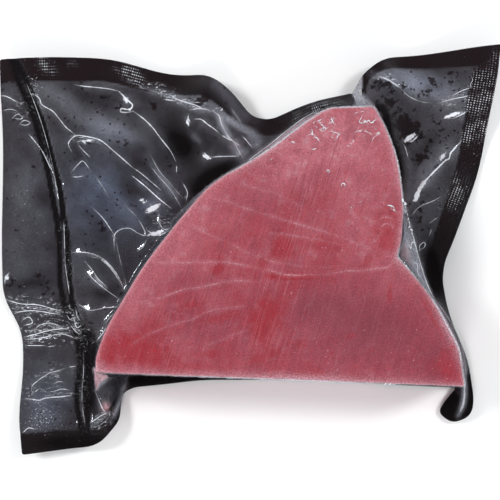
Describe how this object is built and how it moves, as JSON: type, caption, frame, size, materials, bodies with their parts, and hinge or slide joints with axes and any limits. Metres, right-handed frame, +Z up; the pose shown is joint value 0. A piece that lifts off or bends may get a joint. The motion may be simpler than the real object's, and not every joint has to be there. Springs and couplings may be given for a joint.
{
  "type": "vacuum-packed raw tuna steak",
  "caption": "Raw red tuna steak, a thick sawn slab with a pointed outline, sealed between a clear front film and a black back film drawn tight round it.",
  "frame": {"origin": "middle of the pack's footprint, on the surface that it lies on", "axes": "+X along the pouch's long side, away from its mouth; +Y towards the steak's point; +Z up, out of the shown face"},
  "size_m": [0.207, 0.17, 0.026],
  "materials": {
    "raw_tuna": "sawn frozen flesh, red to pink with pale septa",
    "black_film": "glossy black laminate film",
    "clear_film": "glossy clear film"
  },
  "bodies": {
    "root": {"tuna_steak": "raw_tuna", "back_film": "black_film", "front_film": "clear_film"}
  },
  "joints": []
}
